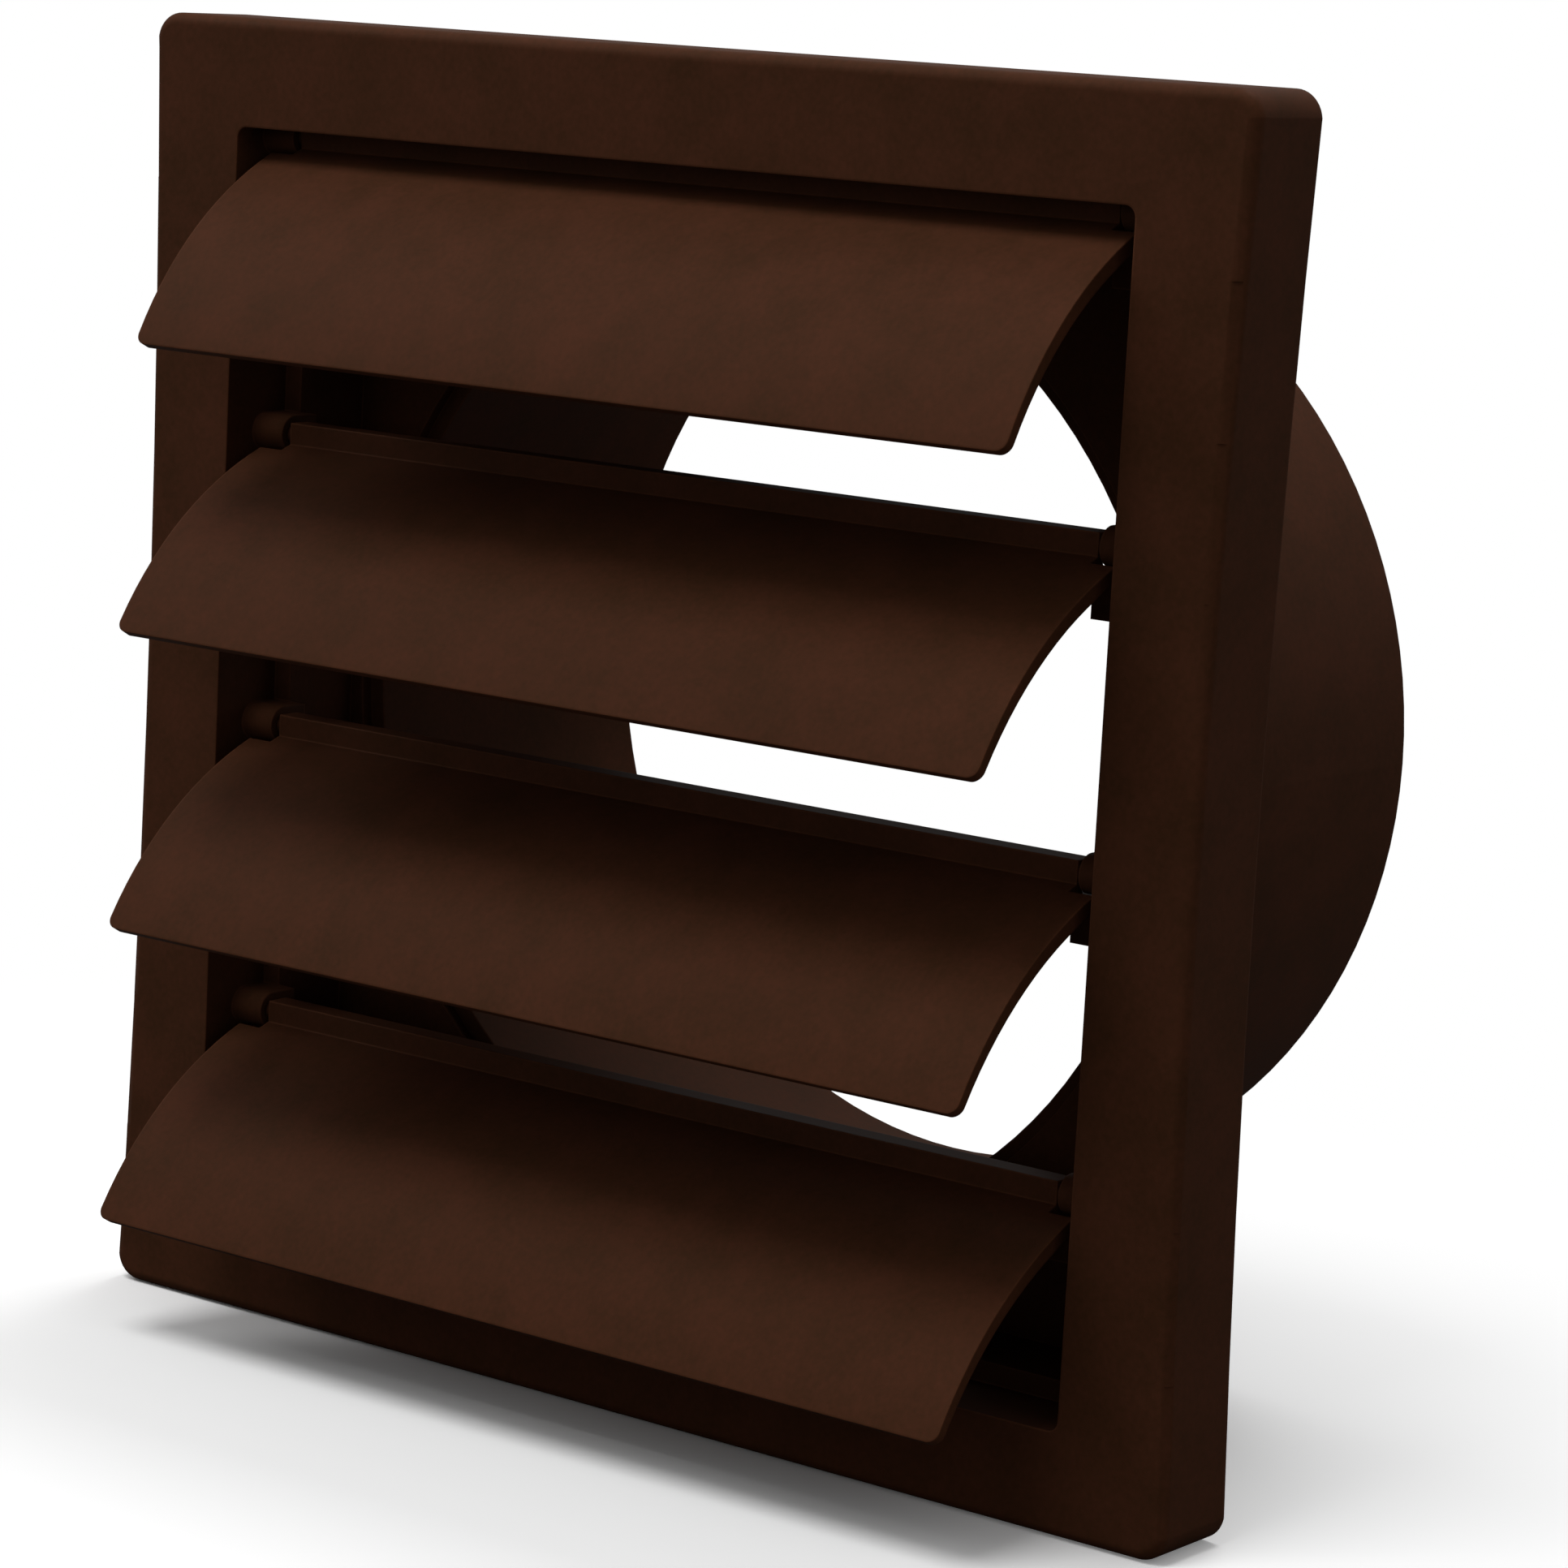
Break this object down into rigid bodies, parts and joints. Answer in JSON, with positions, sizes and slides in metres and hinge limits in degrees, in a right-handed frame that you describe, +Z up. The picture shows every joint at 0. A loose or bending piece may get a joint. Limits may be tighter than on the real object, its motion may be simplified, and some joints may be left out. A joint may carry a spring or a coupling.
{
  "type": "louvred dryer vent cover",
  "caption": "Square wall cover for a round exhaust duct, with hinged horizontal flaps that open in the airflow and fall shut.",
  "frame": {"origin": "on the axis of the duct pipe, in the plane where the skirt of the frame meets the wall", "axes": "-Y is the front, facing away from the wall; +Y runs along the pipe into the wall; +Z is up"},
  "size_m": [0.14, 0.0807, 0.14],
  "materials": {
    "frame_plastic": "satin moulded, very fine grain",
    "flap_plastic": "satin moulded, very fine grain"
  },
  "bodies": {
    "frame": {"frame": "frame_plastic"},
    "flap_1": {"flap_1": "flap_plastic"},
    "flap_2": {"flap_2": "flap_plastic"},
    "flap_3": {"flap_3": "flap_plastic"},
    "flap_4": {"flap_4": "flap_plastic"}
  },
  "joints": [
    {"name": "flap_1_hinge", "type": "hinge", "parent": "frame", "child": "flap_1", "pos_m": [0, -0.005, 0.0581], "axis": [1, 0, 0], "range_deg": [-4, 39]},
    {"name": "flap_2_hinge", "type": "hinge", "parent": "frame", "child": "flap_2", "pos_m": [0, -0.005, 0.0264], "axis": [1, 0, 0], "range_deg": [0, 43]},
    {"name": "flap_3_hinge", "type": "hinge", "parent": "frame", "child": "flap_3", "pos_m": [0, -0.005, -0.0053], "axis": [1, 0, 0], "range_deg": [0, 43]},
    {"name": "flap_4_hinge", "type": "hinge", "parent": "frame", "child": "flap_4", "pos_m": [0, -0.005, -0.037], "axis": [1, 0, 0], "range_deg": [0, 35]}
  ]
}
